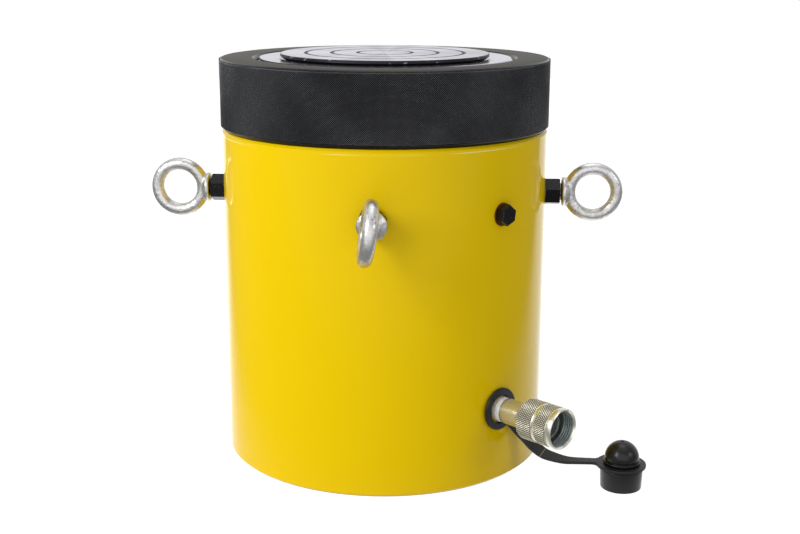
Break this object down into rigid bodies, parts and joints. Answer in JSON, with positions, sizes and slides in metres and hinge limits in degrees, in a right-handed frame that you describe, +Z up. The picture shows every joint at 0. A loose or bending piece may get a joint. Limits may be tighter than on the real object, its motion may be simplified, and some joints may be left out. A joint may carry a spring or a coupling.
{
  "type": "lock nut hydraulic cylinder",
  "caption": "Single-acting load-return hydraulic jack with a knurled lock nut on its threaded plunger, a tilting saddle, lifting eyes and a side quick coupler with dust cap.",
  "frame": {"origin": "centre of the flat face that the cylinder stands on", "axes": "+Z up along the plunger's axis, -Y towards the front lifting eye, +X towards the right one; the port is 47.2 degrees to the right of the front"},
  "size_m": [0.3701, 0.3551, 0.2984],
  "materials": {
    "body_paint": "gloss yellow enamel",
    "black_oxide": "black oxide, satin, knurled on the nut",
    "plated_steel": "hard plated, satin, turned",
    "zinc_cast": "bright zinc over a forged surface",
    "collar_zinc": "zinc with a yellow passivate, diamond knurl",
    "neck_gold": "yellow passivated zinc, polished",
    "valve_steel": "turned steel",
    "spring_steel": "drawn wire",
    "bronze_band": "bronze bearing strip",
    "seal_rubber": "polyurethane or nitrile seal",
    "ptfe_white": "white PTFE",
    "cap_rubber": "black moulded rubber, satin",
    "copper_washer": "soft copper"
  },
  "bodies": {
    "cylinder": {"cylinder_body": "body_paint", "eyebolt_front": "zinc_cast", "eyebolt_right": "zinc_cast", "eyebolt_rear": "zinc_cast", "eyebolt_left": "zinc_cast", "eyebolt_nut_front": "black_oxide", "eyebolt_nut_right": "black_oxide", "eyebolt_nut_rear": "black_oxide", "eyebolt_nut_left": "black_oxide", "vent_plug": "black_oxide", "vent_washer": "copper_washer", "coupler_body": "neck_gold", "thread_tape": "ptfe_white", "coupler_seat_ring": "valve_steel", "coupler_nose_seal": "seal_rubber", "valve_spring": "spring_steel"},
    "plunger": {"plunger": "plated_steel", "lower_bearing_band": "bronze_band", "upper_bearing_band": "bronze_band", "piston_seal": "seal_rubber", "seal_backup_ring": "ptfe_white"},
    "lock_nut": {"lock_nut": "black_oxide"},
    "saddle_pivot": {"saddle_seat_liner": "bronze_band"},
    "saddle": {"saddle": "plated_steel", "saddle_grip_ring": "seal_rubber"},
    "collar": {"coupler_collar": "collar_zinc"},
    "valve": {"coupler_valve": "valve_steel"},
    "strap": {"cap_strap": "cap_rubber"},
    "strap_loop": {"cap_strap_loop": "cap_rubber"},
    "cap": {"dust_cap": "cap_rubber"}
  },
  "joints": [
    {"name": "plunger_slide", "type": "slide", "parent": "cylinder", "child": "plunger", "axis": [0, 0, 1], "range_m": [0, 0.1]},
    {"name": "lock_nut_turn", "type": "hinge", "parent": "cylinder", "child": "lock_nut", "pos_m": [0, 0, 0.27], "axis": [0, 0, 1], "range_deg": [-6000.1, 0]},
    {"name": "saddle_tilt_x", "type": "hinge", "parent": "plunger", "child": "saddle_pivot", "pos_m": [0, 0, 0.39348], "axis": [1, 0, 0], "range_deg": [-5, 5]},
    {"name": "saddle_tilt_y", "type": "hinge", "parent": "saddle_pivot", "child": "saddle", "pos_m": [0, 0, 0.39348], "axis": [0, 1, 0], "range_deg": [-5, 5]},
    {"name": "collar_spin", "type": "hinge", "parent": "cylinder", "child": "collar", "pos_m": [0.11666, -0.10803, 0.054], "axis": [0.7337, -0.6794, 0], "continuous": true},
    {"name": "valve_travel", "type": "slide", "parent": "cylinder", "child": "valve", "axis": [-0.7337, 0.6794, 0], "range_m": [0, 0.003], "stiffness_N_per_m": 800, "springref_m": -0.004, "deforming": ["valve_spring"]},
    {"name": "strap_swivel", "type": "hinge", "parent": "cylinder", "child": "strap", "pos_m": [0.08944, -0.08282, 0.054], "axis": [0.7337, -0.6794, 0], "range_deg": [0, 240]},
    {"name": "cap_lift", "type": "hinge", "parent": "strap", "child": "strap_loop", "pos_m": [0.13603, -0.08167, 0.0161], "axis": [-0.168, -0.9858, 0], "range_deg": [0, 50], "deforming": ["cap_strap"]},
    {"name": "cap_spin", "type": "hinge", "parent": "strap_loop", "child": "cap", "pos_m": [0.17495, -0.08895, 0.0161], "axis": [0, 0, 1], "continuous": true}
  ],
  "couplings": [
    {"joint": "lock_nut_turn", "follows": "plunger_slide", "rad_per_m": -1047.2}
  ]
}
